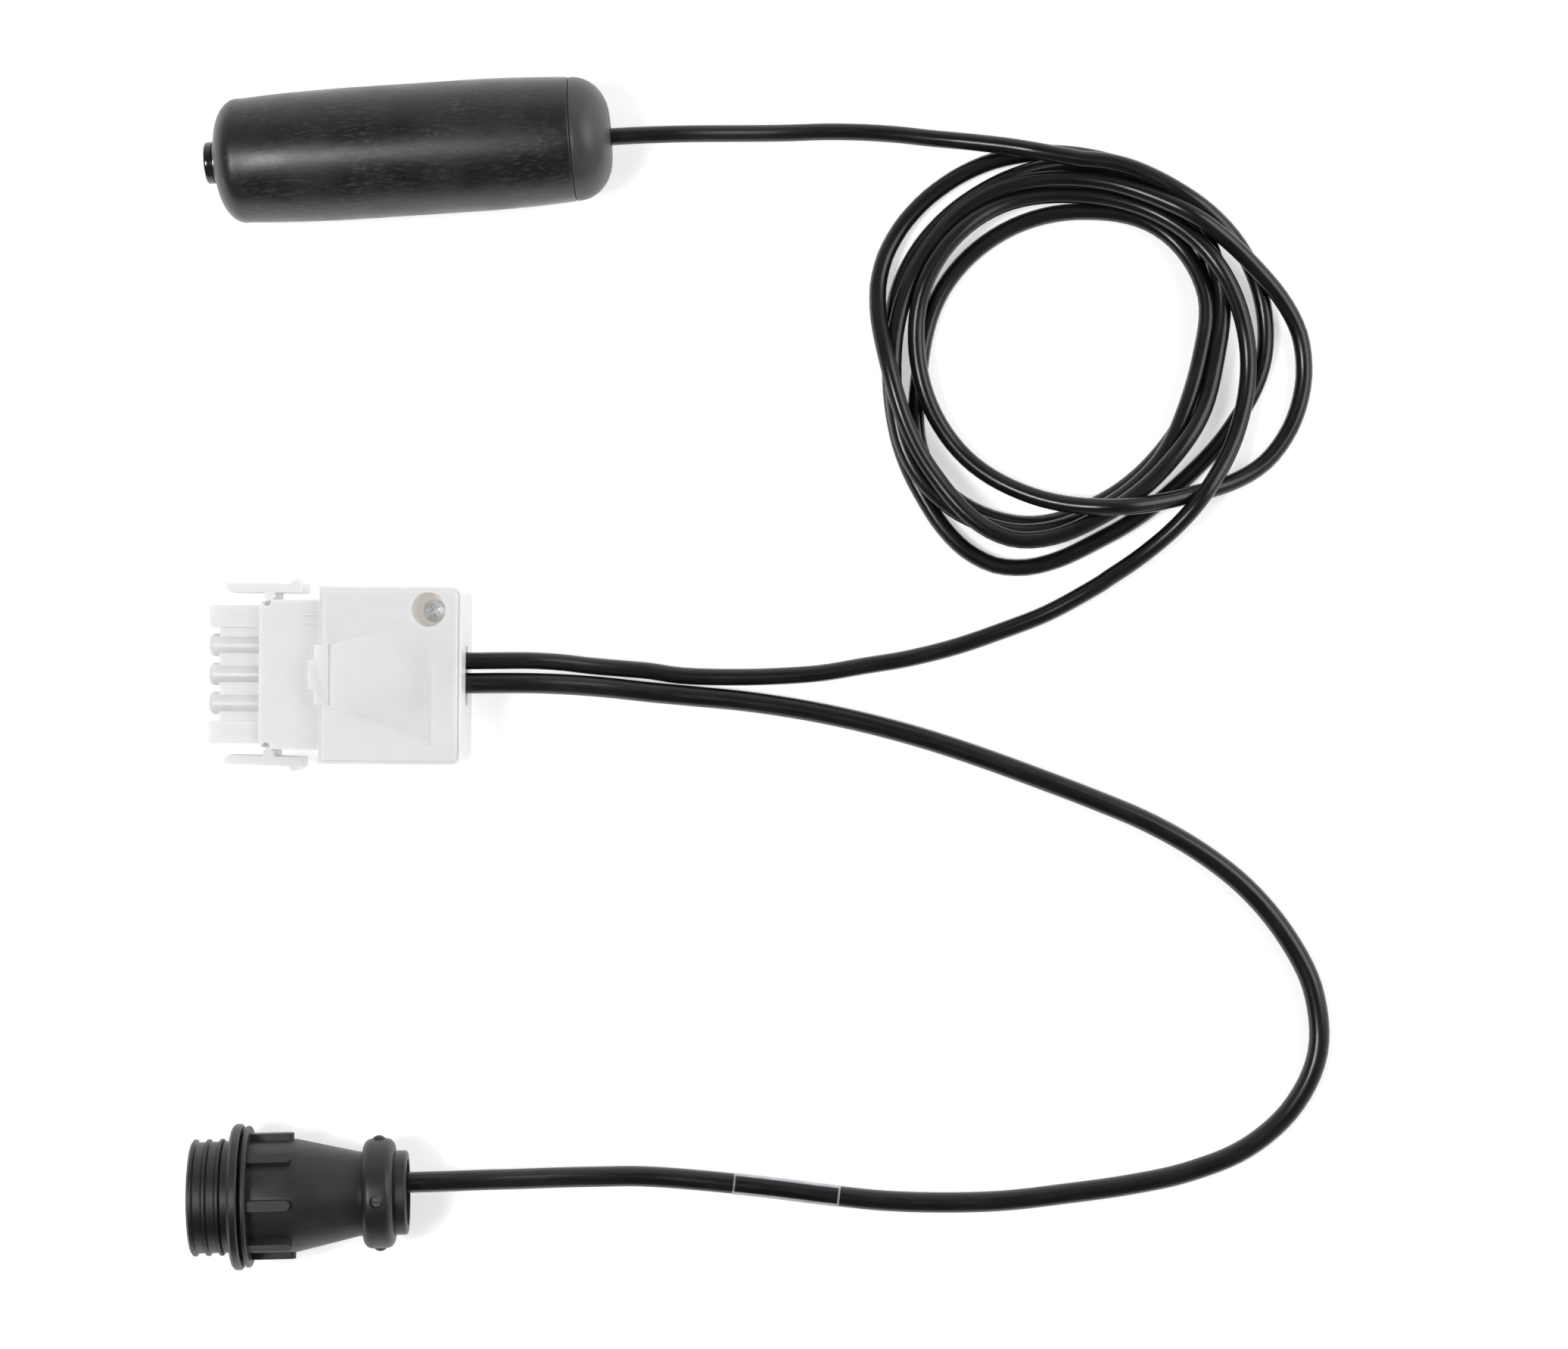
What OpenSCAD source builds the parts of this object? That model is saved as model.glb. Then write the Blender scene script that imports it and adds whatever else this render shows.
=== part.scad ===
// Round ultrasonic distance probe on a coiled lead, with a rectangular plug and a circular connector.
// Frame: +X along the probe towards its cable, +Z up, origin under the middle of the probe on the table.

/* [Probe body] */
// Length of the probe body without its nose
body_len = 86.8; // [75:0.1:110]
// Radius of the barrel over its straight middle band
barrel_r = 14.4; // [13:0.1:18]
// How much the barrel narrows towards its ends
barrel_taper = 0.8; // [0:0.1:1.2]
// Length of the straight middle band
band_len = 24; // [10:1:30]
// Wall of the rubber sleeve at its rear edge
sleeve_wall = 1.7; // [1.2:0.1:2.5]
// Thickness of the sleeve's front wall
front_wall = 2; // [1.5:0.1:3]
// Length of the rounded front shoulder
shoulder_len = 5.4; // [3:0.1:8]
// Length of the domed rear cap
cap_len = 8.4; // [6:0.1:12]

/* [Probe nose and transducer] */
// Radius of the nose
nose_r = 4.6; // [3:0.1:6]
// How far the nose stands out of the front
nose_out = 2.5; // [1:0.1:5]
// Radius of the piezo disc
piezo_r = 6; // [4:0.1:6.5]
// Radius of the transducer can
can_r = 7.5; // [7.5:0.1:9]
// Length of the transducer can
can_len = 9; // [7:0.5:14]

/* [Circuit board] */
// Length of the circuit board
board_len = 56; // [40:1:58]
// Width of the circuit board
board_w = 18; // [12:0.5:19]
// Thickness of the circuit board
board_t = 1.6; // [0.8:0.1:2]

/* [Cables] */
// Radius of the thin cable between the probe and the plug
thin_r = 1.9; // [1.5:0.1:2.2]
// Radius of the thick cable between the plug and the connector
thick_r = 2.3; // [1.8:0.1:2.4]
// Height of the coil as it lies
coil_h = 14; // [9:0.5:18]
// Length of the clear marker sleeve on the thick cable
marker_len = 24; // [10:1:30]

/* [Rectangular plug] */
// Distance between neighbouring contacts
pitch = 6.35; // [6:0.05:7]
// Contacts across the plug
columns = 5; // [3:1:5]
// Contacts through its thickness
rows = 3; // [2:1:3]
// Outer width of one silo
silo_w = 4.9; // [4.6:0.1:5.5]
// Radius of the hole in a silo
silo_bore_r = 1.6; // [1.4:0.1:1.8]
// Length of the silos in front of the hood
silo_len = 11.2; // [9:0.1:14]
// Depth of the open slots between the silo tips
silo_slot = 2.3; // [1:0.1:4]
// Visible length of the hood
hood_len = 13.3; // [12:0.1:16]
// Margin of the hood around the silo block
hood_margin = 1.2; // [1:0.05:2.5]
// Length of the cable cover
cover_len = 31; // [28:0.5:40]
// Margin of the cover around the hood on each side
cover_margin = 3; // [2.5:0.1:4]
// Wall of the cover
cover_wall = 1.9; // [1.5:0.1:2.5]
// Half the thickness of the cover
cover_half_h = 12.5; // [12.5:0.1:15]

/* [Latches] */
// Length of a latch bar
latch_len = 16.8; // [15:0.1:19]
// Thickness of a latch bar
latch_t = 2.1; // [1.6:0.1:2.6]
// Width of a latch along the plug's thickness
latch_w = 12; // [8:0.5:14]
// Gap between a latch bar and the hood
latch_gap = 1.6; // [1.4:0.1:2.5]
// Outward set of the lower latch at rest, in degrees
lower_latch_set = 1.5; // [0:0.5:3]

/* [Circular connector] */
// Radius of the threaded front of the shell
shell_r = 12.1; // [11.5:0.1:13]
// Height of the thread ridges
thread_h = 0.6; // [0.3:0.1:0.9]
// Radius of the flange
flange_r = 15.9; // [15:0.1:18]
// Radius of the funnel behind the flange
funnel_r = 12.3; // [12:0.1:13]
// Radius of the funnel's narrow end
neck_r = 9.2; // [8.8:0.1:10]
// Radius of the clamp ring
clamp_r = 12; // [11.5:0.1:13]
// Height of a grip rib on the funnel
rib_h = 1.5; // [0.8:0.1:1.8]
// Grip ribs around the funnel
rib_count = 8; // [6:1:10]

/* [Hidden] */
$fn = 64;

rubber = "#202123";
black_plastic = "#1b1c1e";
nylon = "#eceeec";
metal = "#c6c9cc";
brass = "#c79a4a";
slip = 0.05;
clearance = 0.3;

// Probe, along X
nose_x = -(body_len + nose_out) / 2;
front_x = nose_x + nose_out;
rear_x = front_x + body_len;
joint_x = rear_x - cap_len;
mid_x = (front_x + rear_x) / 2;
axis_z = barrel_r;
end_r = barrel_r - barrel_taper;
bore_r = end_r - sleeve_wall;
front_flat_r = 5;
nose_flange_t = 1;
ring_t = 0.4;
nose_neck_r = nose_r - 0.6;
neck_hole_r = nose_neck_r + slip;
can_x = front_x + front_wall + nose_flange_t;
can_wall = 0.5;
piezo_t = 1.2;
liner_wall = 1.4;
liner_x0 = can_x + can_len + 2;
liner_x1 = joint_x - 5;
board_x0 = liner_x0 + 0.5;
board_z = axis_z - 1;
spigot_len = 4;
grip_r = 5;
cap_wall = 2.4;
wire_r = 0.5;

// Rectangular plug: its own frame has X = 0 at the rear of the cover and Z = 0 on the table
plug_place = [5, -116.5, 0];
plug_turn = -4.25;
block_w = (columns - 1) * pitch + silo_w;
block_h = (rows - 1) * pitch + silo_w;
hood_w = block_w + 2 * hood_margin;
hood_h = block_h + 2 * hood_margin;
cover_w = hood_w + 2 * cover_margin;
hood_x1 = -cover_len;
hood_x0 = hood_x1 - hood_len;
silo_x0 = hood_x0 - silo_len;
collar_len = 4;
collar_margin = 1;
contact_r = 1.15;
thin_y = 3.3;
thick_y = -1.6;
screw_at = [-7.2, cover_w / 2 - 5];
screw_head_r = 2.45;
screw_head_h = 2.1;
screw_shank_r = 1.4;
counterbore_r = 3.75;
screw_floor_z = -screw_head_h - 0.1;
socket_wall = 0.7;
socket_depth = 2;
tower_floor = 0.8;
pivot_x = hood_x0 + 1.6;
pivot_y = hood_w / 2 - 0.45;
knuckle_r = 0.9;

// Circular connector: its own frame has X = 0 at the front rim, along the axis
connector_place = [-62.2, -227];
connector_turn = -2.85;
shell_wall = 1.5;
ridge_w = 1.3;
ridge_pitch = 2.9;
flange_x = 9;
flange_t = 2.2;
gasket_t = 0.8;
rear_disc_t = 0.9;
funnel_x = flange_x + flange_t + gasket_t;
collar_x = funnel_x + rear_disc_t;
rib_len = 9.9;
rib_w = 2.3;
cone_x = collar_x + rib_len;
clamp_x = cone_x + 14.6;
clamp_len = 7;
edge_r = 2;
end_x = clamp_x + clamp_len + 2.7;
insert_x = flange_x + 1.4;
insert_len = 9;
insert_r = funnel_r - 3.7;
spigot_r = funnel_r - 2.3;
pin_out = 4.8;
jaw_x = clamp_x + 1;
jaw_len = 5;
tail_bore_r = neck_r - 1.9;
seat_r = neck_r - 0.9;
cable_offset = 2.2;
lean = 3.5; // the cable holds the tail up a little
axis_lift = flange_r * cos(lean) + (flange_x + flange_t - 0.4) * sin(lean) + 0.02;

// Routes: the cable's middle line, point by point
lead_route = [[34, 0, 14.4], [45, 0, 14.4], [52, 0, 13.8], [60, 0, 12.2], [68, 0, 9.6], [76, 0, 6.7], [84, 0, 4.2],
    [92, 0, 2.7], [100, -0.5, 2.1], [108, -1.5, 2], [116, -3, 2.4], [124, -4.5, 3.8], [132, -6.3, 5.8],
    [140, -8.5, 7.9], [147, -11, 9.1]];
run_route = [[151, -101.6, 6.5], [145.5, -105.9, 5], [135, -110.8, 3.2], [125, -114, 2.1], [114, -117, 2],
    [103, -119, 2], [93, -120, 2], [83, -121, 2], [72, -121, 2], [62, -120.5, 2], [52, -119.5, 2],
    [45, -118, 2.3], [38.5, -117, 3.5], [32, -116, 5.5], [25.5, -114.8, 8], [19, -114, 10.2],
    [12.5, -113.6, 11.8], [5.5, -113.2, 12.5], [-6, -112.4, 12.5]];
plug_cable_route = [[-6.5, -117.2, 12.5], [5, -118.1, 12.5], [12, -118.5, 12], [20, -119.1, 10.2],
    [28, -120, 7.6], [36, -121.2, 5], [45, -122.8, 3.1], [55, -124.4, 2.4], [66, -126.2, 2.4],
    [79, -129, 2.4], [92, -132.6, 2.4], [105, -137, 2.4], [117.5, -142, 2.4], [130, -147.5, 2.4],
    [142, -153, 2.4], [154, -159, 2.4], [165.5, -166.5, 2.4], [175.5, -175.5, 2.4], [183.5, -186.5, 2.4],
    [188.8, -199, 2.4], [189, -213, 2.4], [182.5, -225, 2.4], [171.5, -233.5, 2.4], [158, -238, 2.4],
    [144.5, -240, 2.4], [131, -241, 2.4], [117, -241.7, 2.4], [104, -241.3, 2.4], [90, -240, 2.4],
    [77, -237.8, 2.4], [63.5, -235.2, 2.4], [50, -232.9, 2.4], [36.5, -231, 2.5], [26, -230.2, 3.6],
    [16.5, -229.4, 6.1], [8, -228.7, 8.9], [1.5, -228.1, 11], [-5, -227.7, 12.4], [-12, -227.3, 13.4],
    [-18, -227, 13.9], [-25, -226.6, 14.3]];
thin_sides = 8;
thick_sides = 10;
marker_from = 29;
marker_to = 31;

// Outline of the coil: outer and inner radius at the twelve hours of a clock, from +Y clockwise
coil_centre = [149, -55.5];
coil_outer = [47.5, 44.5, 43.5, 49, 47.5, 44, 47, 53, 50.5, 48.5, 53, 51.5];
coil_inner = [31.5, 31, 27.5, 22, 21, 24, 30, 31.5, 34.5, 37, 35, 33];

// ---- helpers ----
function blend4(a, b, c, d, t) = b + 0.5 * t * ((c - a) + t * ((2 * a - 5 * b + 4 * c - d)
    + t * (3 * (b - c) + d - a)));
function clock_ring(radii, steps = 3) = let (n = len(radii))
    [for (i = [0 : n - 1], s = [0 : steps - 1])
        let (r = blend4(radii[(i + n - 1) % n], radii[i], radii[(i + 1) % n], radii[(i + 2) % n], s / steps),
            a = (i + s / steps) * 360 / n) [r * sin(a), r * cos(a)]];
function unit(v) = v / norm(v);
function heading(p, i) = unit(p[min(i + 1, len(p) - 1)] - p[max(i - 1, 0)]);
function ring_at(p, i, r, sides) = let (t = heading(p, i), u = unit(cross([0, 0, 1], t)), w = cross(t, u))
    [for (k = [0 : sides - 1]) p[i] + r * (u * cos(360 * k / sides) + w * sin(360 * k / sides))];
function quarter(cx, cr, lx, lr, from, to, n = 10) =
    [for (k = [0 : n]) let (a = from + (to - from) * k / n) [cr + lr * cos(a), cx + lx * sin(a)]];
function swell(x0, r0, x1, r1, n = 8) =
    [for (k = [0 : n]) let (t = k / n) [r1 - (r1 - r0) * (1 - t) * (1 - t), x0 + (x1 - x0) * t]];
function reversed(p) = [for (k = [len(p) - 1 : -1 : 0]) p[k]];

module sweep(path, r, sides) {
    n = len(path);
    rings = [for (i = [0 : n - 1]) each ring_at(path, i, r, sides)];
    walls = [for (i = [0 : n - 2], k = [0 : sides - 1])
        [i * sides + k, (i + 1) * sides + k, (i + 1) * sides + (k + 1) % sides, i * sides + (k + 1) % sides]];
    caps = [[for (k = [0 : sides - 1]) k], [for (k = [sides - 1 : -1 : 0]) (n - 1) * sides + k]];
    polyhedron(rings, concat(walls, caps));
}

// A solid of revolution about X from a profile of [radius, x] points
module lathe(profile) rotate([0, 90, 0]) rotate_extrude() polygon(profile);
module rod(x0, x1, r) translate([x0, 0, 0]) rotate([0, 90, 0]) cylinder(h = x1 - x0, r = r);
module tube(x0, x1, r_out, r_in) difference() {
    rod(x0, x1, r_out);
    rod(x0 - 1, x1 + 1, r_in);
}
module wire(from, to, r) {
    d = to - from;
    translate(from) rotate([0, acos(d.z / norm(d)), atan2(d.y, d.x)]) cylinder(h = norm(d), r = r, $fn = 16);
}
module at_axis() translate([0, 0, axis_z]) children();
module at_plug() translate(plug_place) rotate([0, 0, plug_turn]) children();
module at_plug_middle() at_plug() translate([0, 0, cover_half_h]) children();
module at_connector() translate([connector_place.x, connector_place.y, axis_lift])
    rotate([0, 0, connector_turn]) rotate([0, lean, 0]) children();
module block(x0, x1, w, h) translate([x0, -w / 2, -h / 2]) cube([x1 - x0, w, h]);

// ---- probe ----
module sensor_sleeve() color(rubber) at_axis() lathe(concat(
    [[neck_hole_r, front_x]],
    reversed(quarter(front_x + shoulder_len, front_flat_r, -shoulder_len, end_r - front_flat_r, 0, 90)),
    swell(front_x + shoulder_len, end_r, mid_x - band_len / 2, barrel_r),
    reversed(swell(joint_x, end_r, mid_x + band_len / 2, barrel_r)),
    [[bore_r, joint_x], [bore_r, front_x + shoulder_len], [can_r + 1.5, front_x + front_wall],
        [neck_hole_r, front_x + front_wall]]));

module sensor_rear_cap() color("#2a2b2d") at_axis() lathe(concat(
    [[thin_r + slip, rear_x - cap_wall], [thin_r + slip, rear_x]],
    reversed(quarter(joint_x, nose_r, cap_len, end_r - nose_r, 0, 90)),
    [[bore_r - slip, joint_x], [bore_r - slip, joint_x - spigot_len], [bore_r - 2.5, joint_x - spigot_len],
        [bore_r - 2.5, joint_x + 1], [grip_r + slip, joint_x + 1], [grip_r + slip, rear_x - cap_wall]]));

module transducer_nose() color("#0b0b0c") at_axis() lathe([[0, nose_x], [nose_r - 0.9, nose_x + 0.12],
    [nose_r, nose_x + 0.5], [nose_r, front_x - ring_t], [nose_neck_r, front_x - ring_t],
    [nose_neck_r, front_x + front_wall + slip], [nose_r + 1.9, front_x + front_wall + slip],
    [nose_r + 1.9, can_x], [0, can_x]]);

module nose_ring() color(metal) at_axis() tube(front_x - ring_t + slip, front_x - slip, nose_r + 0.45, neck_hole_r);

module transducer_can() color(metal) at_axis() lathe([[0, can_x + slip], [can_r, can_x + slip],
    [can_r, can_x + can_len], [can_r - can_wall, can_x + can_len], [can_r - can_wall, can_x + slip + can_wall],
    [0, can_x + slip + can_wall]]);

module piezo_disc() color("#d8cfae") at_axis()
    rod(can_x + can_wall + 2 * slip, can_x + can_wall + 2 * slip + piezo_t, piezo_r);

module backing_foam() color("#3a3d44") at_axis() difference() {
    rod(can_x + can_wall + piezo_t + 3 * slip, can_x + can_len - 0.5, can_r - can_wall - slip);
    transducer_wire_paths(wire_r + slip);
}

module isolation_ring() color("#4b4d50") at_axis()
    tube(front_x + shoulder_len + 0.5, can_x + can_len - 1, bore_r - slip, can_r + slip);

module carrier_liner() color("#55585c") at_axis() difference() {
    tube(liner_x0, liner_x1, bore_r - slip, bore_r - liner_wall);
    translate([liner_x0 - 1, -bore_r, 3]) cube([liner_x1 - liner_x0 + 2, 2 * bore_r, bore_r]);
    translate([liner_x0 - 1, -board_w / 2 - 0.5, -1 - board_t / 2 - slip])
        cube([liner_x1 - liner_x0 + 2, board_w + 1, board_t + 2 * slip]);
}

module circuit_board() color("#2c6a45") translate([board_x0, -board_w / 2, board_z - board_t / 2])
    cube([board_len, board_w, board_t]);

module board_components() color("#26272a") translate([board_x0, 0, board_z + board_t / 2]) {
    for (x = [0.3, 0.55]) translate([board_len * x, -board_w * 0.28, 0]) cube([8, board_w * 0.35, 1.6]);
    translate([board_len * 0.2, board_w * 0.05, 0]) cube([7, board_w * 0.3, 5.5]);
    for (x = [0.45, 0.62, 0.79]) translate([board_len * x, board_w * 0.22, 0]) cylinder(h = 6, r = 2.2);
    for (x = [0.15, 0.4, 0.7]) translate([board_len * x, -board_w * 0.4, -board_t - 1]) cube([3, 2, 1]);
}

// Two wires from the piezo disc to the front of the board
module transducer_wire_paths(r) for (y = [-2, 2])
    translate([0, y, board_z - axis_z + board_t / 2 + wire_r]) rod(can_x + can_wall + piezo_t + 2 * slip, board_x0 + 3, r);
module transducer_wires() color("#b03a2e") at_axis() transducer_wire_paths(wire_r);

module cable_wires() color("#c9c3b2") for (y = [-1.1, 0, 1.1])
    translate([0, y, axis_z + 0.3]) rod(board_x0 + board_len - 3, lead_route[0].x, wire_r);

module cable_grip_ring() color("#6b6e72") at_axis()
    tube(joint_x + 1 + slip, rear_x - cap_wall - slip, grip_r, thin_r + slip);

// ---- thin cable ----
module sensor_cable_lead() color(rubber) sweep(lead_route, thin_r, thin_sides);
module sensor_cable_coil() color(rubber) translate([coil_centre.x, coil_centre.y, 0])
    linear_extrude(coil_h) difference() {
        polygon(clock_ring(coil_outer));
        polygon(clock_ring(coil_inner));
    }
module sensor_cable_run() color(rubber) sweep(run_route, thin_r, thin_sides);

// ---- rectangular plug ----
module silo_shape(is_round) if (is_round) rod(silo_x0, hood_x0 + 1, silo_w / 2 + 0.1);
    else block(silo_x0, hood_x0 + 1, silo_w, silo_w);

module plug_housing() color(nylon, 0.8) at_plug_middle() difference() {
    union() {
        for (i = [0 : columns - 1], j = [0 : rows - 1])
            translate([0, silo_y(i), silo_z(j)]) silo_shape(i > 0 && i < columns - 1);
        block(silo_x0 + silo_slot, hood_x0 + 1, block_w, block_h - 1.2);
        intersection() {
            block(hood_x0, hood_x1, hood_w, hood_h);
            linear_extrude(hood_h, center = true) hood_outline();
        }
        block(hood_x1 - 1, hood_x1 + collar_len, hood_w - 2 * collar_margin, hood_h - 2 * collar_margin);
        for (y = [hood_w / 2 - 3.2, hood_w / 2 - 5])
            translate([hood_x1 - 4, y - 0.3, 0]) cube([4, 0.6, hood_h / 2 + 0.25]);
    }
    for (i = [0 : columns - 1], j = [0 : rows - 1])
        translate([0, silo_y(i), silo_z(j)]) rod(silo_x0 - 1, hood_x1 + collar_len + 1, silo_bore_r);
    for (side = [-1, 1]) translate([pivot_x, side * pivot_y, 0])
        cylinder(h = hood_h + 1, r = knuckle_r + 0.08, center = true);
}
function silo_y(i) = (i - (columns - 1) / 2) * pitch;
function silo_z(j) = (j - (rows - 1) / 2) * pitch;
module hood_outline() polygon([[hood_x0, -hood_w / 2 + 1], [hood_x0 + 1, -hood_w / 2], [hood_x1, -hood_w / 2],
    [hood_x1, hood_w / 2], [hood_x0 + 1, hood_w / 2], [hood_x0, hood_w / 2 - 1]]);

// One latch on the +Y side, drawn around its pivot
module latch_shape() {
    bar_y = hood_w / 2 - pivot_y + latch_gap;
    front = latch_len * 0.58;
    linear_extrude(latch_w, center = true) {
        circle(r = knuckle_r);
        translate([-0.5, 0]) square([1, bar_y]);
        translate([-1.2, bar_y - latch_gap + 0.3]) square([2.4, latch_gap]);
        polygon([[-front + 0.9, bar_y], [latch_len - front, bar_y], [latch_len - front, bar_y + latch_t],
            [-front, bar_y + latch_t], [-front, bar_y + 0.8]]);
        translate([latch_len - front - 1.3, bar_y + latch_t - 0.3]) circle(r = 1.3);
    }
}
module latch_upper() color(nylon, 0.8) at_plug_middle() translate([pivot_x, pivot_y, 0]) latch_shape();
module latch_lower() color(nylon, 0.8) at_plug_middle() mirror([0, 1, 0]) translate([pivot_x, pivot_y, 0])
    rotate([0, 0, lower_latch_set]) latch_shape();

// One half of the cover above the plug's middle plane; the other half is the same piece turned over
module cover_outline(inset) {
    corner = 2;
    half = cover_w / 2 - inset;
    translate([-cover_len + inset, -half]) square([cover_len - corner - inset, 2 * half]);
    translate([-cover_len + inset, -half + corner - inset])
        square([cover_len - 2 * inset, 2 * (half - corner + inset)]);
    for (side = [-1, 1]) translate([-corner, side * (half - corner + inset)]) circle(r = corner - inset);
}
module cover_half() difference() {
    union() {
        difference() {
            union() {
                linear_extrude(cover_half_h - 0.8) cover_outline(0);
                linear_extrude(cover_half_h) cover_outline(0.8);
                translate([hood_x1 - 0.9, -6.6, hood_h / 2 + clearance])
                    cube([3, 13.2, cover_half_h - hood_h / 2 - clearance]);
                translate([hood_x1 - 0.9, 0, hood_h / 2 + clearance]) intersection() {
                    cylinder(h = cover_half_h - hood_h / 2 - clearance, r = 3.4);
                    translate([-1.4, -4, 0]) cube([2, 8, 6]);
                }
            }
            translate([-cover_len + cover_wall + collar_len, -cover_w / 2 + cover_wall, -1])
                cube([cover_len - 2 * cover_wall - collar_len, cover_w - 2 * cover_wall, cover_half_h + 1 - cover_wall]);
            // Mouth that holds the collar of the housing
            translate([-cover_len - 1, -hood_w / 2 + collar_margin - slip, -1])
                cube([collar_len + cover_wall + 2, hood_w - 2 * collar_margin + 2 * slip,
                    hood_h / 2 - collar_margin + 1 + slip]);
            // Groove across the tongue
            translate([hood_x1 + 2.2, -6.6, cover_half_h - 0.4]) cube([0.5, 13.2, 1]);
        }
        // Tower around the sunk screw, with a narrow socket that reaches into the other half
        translate([screw_at.x, screw_at.y, 0]) cylinder(h = cover_half_h - 0.4, r = counterbore_r + socket_wall);
        translate([screw_at.x, screw_at.y, screw_floor_z - socket_depth])
            cylinder(h = socket_depth - screw_floor_z, r = screw_head_r + 0.55);
        // Boss that the other half's screw cuts its thread in
        translate([screw_at.x, -screw_at.y, socket_depth - screw_floor_z + slip])
            cylinder(h = cover_half_h - 0.4 - socket_depth + screw_floor_z, r = screw_shank_r + 1.6);
    }
    translate([screw_at.x, screw_at.y, tower_floor]) cylinder(h = cover_half_h, r = counterbore_r);
    translate([screw_at.x, screw_at.y, screw_floor_z]) cylinder(h = cover_half_h, r = screw_head_r + 0.15);
    translate([screw_at.x, screw_at.y, -cover_half_h]) cylinder(h = cover_half_h, r = screw_shank_r + 0.1);
    translate([screw_at.x, -screw_at.y, -1]) cylinder(h = cover_half_h - 0.5, r = screw_shank_r + slip);
    // Small square witness mark above the blind boss
    translate([screw_at.x - 0.85, -screw_at.y - 0.85, cover_half_h - 0.3]) cube([1.7, 1.7, 1]);
    // Mouth for the two cables
    translate([-cover_wall - 1, -6.6, -1]) cube([cover_wall + 2, 13.2, 1 + thick_r + 0.2]);
}
module cover_top() color(nylon, 0.8) at_plug_middle() cover_half();
module cover_bottom() color(nylon, 0.8) at_plug_middle() rotate([180, 0, 0]) cover_half();

module cover_screw() translate([screw_at.x, screw_at.y, screw_floor_z]) {
    difference() {
        intersection() {
            cylinder(h = screw_head_h, r = screw_head_r);
            translate([0, 0, screw_head_h - 5]) sphere(r = 5);
        }
        for (a = [0, 90]) rotate([0, 0, a + 30]) translate([-1.5, -0.35, screw_head_h - 1.1]) cube([3, 0.7, 2]);
    }
    translate([0, 0, -8]) cylinder(h = 8, r = screw_shank_r);
}
module cover_screws() color(metal) at_plug_middle() {
    cover_screw();
    rotate([180, 0, 0]) cover_screw();
}

module crimp_contacts() color(brass) at_plug_middle() for (i = [0 : columns - 1], j = [0 : rows - 1])
    translate([0, silo_y(i), silo_z(j)]) {
        tube(silo_x0 + 3, silo_x0 + 14, contact_r + 0.25, contact_r - 0.25);
        rod(silo_x0 + 13, hood_x1 + collar_len + 1, contact_r);
    }

module plug_wires() color("#8d3b35") at_plug_middle() {
    for (i = [1 : columns - 2]) wire([hood_x1 + collar_len + 1.5, silo_y(i), silo_z(rows - 1)],
        [-12, thin_y + (i - 2) * 0.8, 0.4], wire_r);
    for (i = [0 : columns - 1]) wire([hood_x1 + collar_len + 1.5, silo_y(i), silo_z(rows - 2)],
        [-12.2, thick_y + (i - 2) * 0.8, -0.4], wire_r);
}

module cable_pads() color("#dfe1df") at_plug_middle() difference() {
    for (s = [0, 180]) rotate([s, 0, 0]) translate([-9.5, -6, 0.4])
        cube([5, 12, cover_half_h - cover_wall - 0.45]);
    translate([-12, thin_y, 0]) rod(0, 10, thin_r + slip);
    translate([-12, thick_y, 0]) rod(0, 10, thick_r + slip);
}

// ---- thick cable ----
module plug_cable() color(rubber) sweep(plug_cable_route, thick_r, thick_sides);
module marker_sleeve() color("#b9bcc0", 0.5) {
    mid = (plug_cable_route[marker_from] + plug_cable_route[marker_to]) / 2;
    along = unit(plug_cable_route[marker_to] - plug_cable_route[marker_from]);
    translate([mid.x, mid.y, thick_r + 0.1]) rotate([0, 0, atan2(along.y, along.x)]) difference() {
        rod(-marker_len / 2, marker_len / 2, thick_r + 0.1);
        rod(-marker_len, marker_len, thick_r);
    }
}

// ---- circular connector ----
module receptacle_shell() color(black_plastic) at_connector() difference() {
    union() {
        rod(0, flange_x + 1, shell_r);
        for (k = [0 : 2]) lathe(ridge_profile(0.1 + k * ridge_pitch));
        lathe([[0, flange_x], [flange_r - 0.6, flange_x], [flange_r, flange_x + 0.6],
            [flange_r, flange_x + flange_t - 0.4], [flange_r - 0.4, flange_x + flange_t], [0, flange_x + flange_t]]);
        rod(flange_x, collar_x + 8, spigot_r);
    }
    rod(-1, insert_x - 0.2, shell_r - shell_wall);
    rod(0, collar_x + 9, insert_r);
}
function ridge_profile(x) = [[shell_r - 1, x], [shell_r, x], [shell_r + thread_h, x + 0.35],
    [shell_r + thread_h, x + ridge_w - 0.35], [shell_r, x + ridge_w], [shell_r - 1, x + ridge_w]];

pin_rings = [[0, 1], [3.4, 5], [7, 10]];
module pin_places() for (g = pin_rings, k = [0 : g[1] - 1])
    rotate([360 * k / g[1], 0, 0]) translate([0, g[0], 0]) children();
module contact_insert() color("#2b2c2e") at_connector() difference() {
    rod(insert_x, insert_x + insert_len - 0.5, insert_r - slip);
    pin_places() rod(0, 60, 0.85);
}
module pin_contacts() color(brass) at_connector() pin_places() {
    rod(insert_x - pin_out, insert_x + insert_len + 3, 0.8);
    translate([insert_x - pin_out, 0, 0]) sphere(r = 0.8, $fn = 24);
}
module flange_gasket() color("#101112") at_connector()
    tube(flange_x + flange_t, funnel_x, flange_r - 2.3, spigot_r + slip);

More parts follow.
